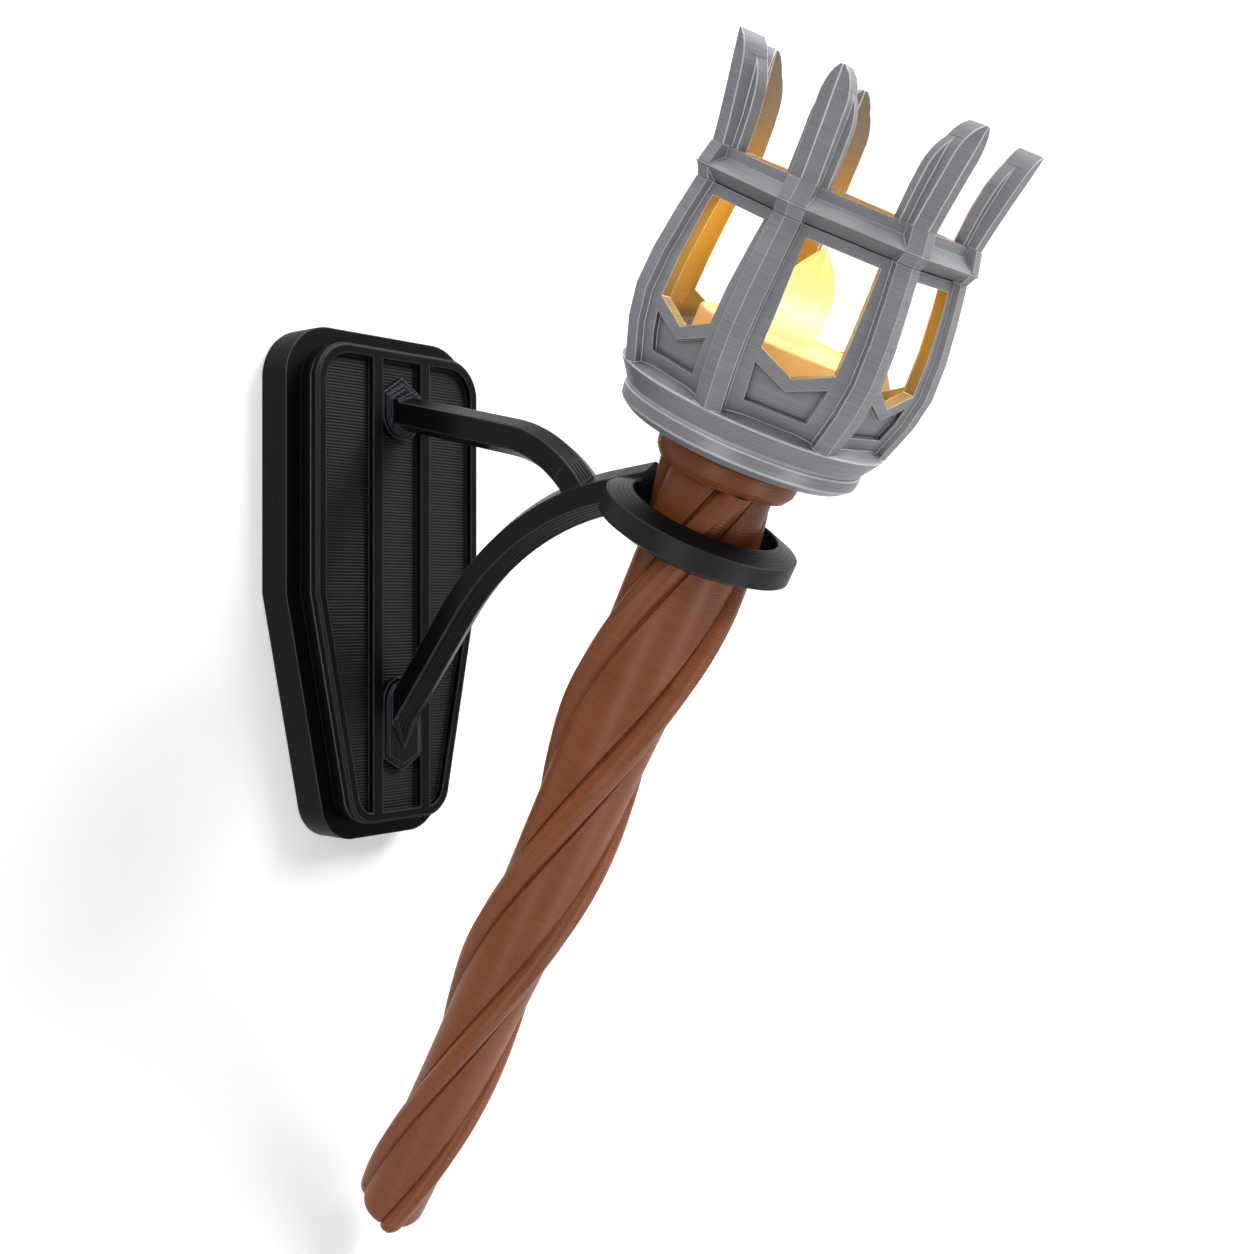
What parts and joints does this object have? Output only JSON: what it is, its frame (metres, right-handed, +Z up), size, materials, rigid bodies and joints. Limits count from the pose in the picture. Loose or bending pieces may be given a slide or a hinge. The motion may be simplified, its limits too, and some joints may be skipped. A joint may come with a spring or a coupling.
{
  "type": "torch sconce",
  "caption": "Black wall bracket with a keeled arm and ring that holds a lift-out leaning torch: rope-twist brown handle and seven-sided grey basket round a flameless candle light.",
  "frame": {"origin": "centre of the wall plate's back face, half way up it", "axes": "+Y into the wall, the object stands out towards -Y; +Z up; +X to the right of someone facing the plate"},
  "size_m": [0.0637, 0.1815, 0.2693],
  "materials": {
    "black_print": "printed black plastic with fine layer lines, low sheen",
    "brown_print": "printed silk brown plastic with fine level layer lines",
    "grey_print": "printed silk grey plastic with fine layer lines and a metallic sheen",
    "steel": "plain zinc-plated steel",
    "cream_plastic": "smooth warm translucent plastic, lit from inside",
    "flame_plastic": "frosted translucent plastic, lit from inside",
    "led_plastic": "clear epoxy lamp",
    "board": "green laminate",
    "brass_contact": "bare sheet brass",
    "cell_steel": "bright nickel-plated steel",
    "switch_plastic": "black moulded plastic"
  },
  "bodies": {
    "bracket": {"back_plate": "black_print", "plate_body": "black_print", "face_plate": "black_print", "upper_arm": "black_print", "lower_arm": "black_print", "ring": "black_print", "arm_screws": "steel", "plate_screws": "steel"},
    "torch": {"upper_grip": "brown_print", "lower_grip": "brown_print", "handle_flange": "brown_print", "seat_collar": "black_print", "core_rod": "steel", "rod_nut": "steel", "basket_base": "grey_print", "basket_cage": "grey_print", "basket_collar": "grey_print", "basket_prongs": "grey_print", "candle_tray": "black_print"},
    "candle": {"tealight_shell": "cream_plastic", "tealight_top": "cream_plastic", "flame": "flame_plastic", "led": "led_plastic", "circuit_board": "board", "cell_contacts": "brass_contact", "coin_cell": "cell_steel", "cell_door": "cream_plastic", "door_screw": "steel"},
    "switch": {"switch_slider": "switch_plastic"}
  },
  "joints": [
    {"name": "torch_lift", "type": "slide", "parent": "bracket", "child": "torch", "axis": [0, -0.4802, 0.8771], "range_m": [0, 0.2]},
    {"name": "candle_lift", "type": "slide", "parent": "torch", "child": "candle", "axis": [0, -0.4802, 0.8771], "range_m": [0, 0.08]},
    {"name": "switch_slide", "type": "slide", "parent": "candle", "child": "switch", "axis": [1, 0, 0], "range_m": [-0.0025, 0]}
  ]
}
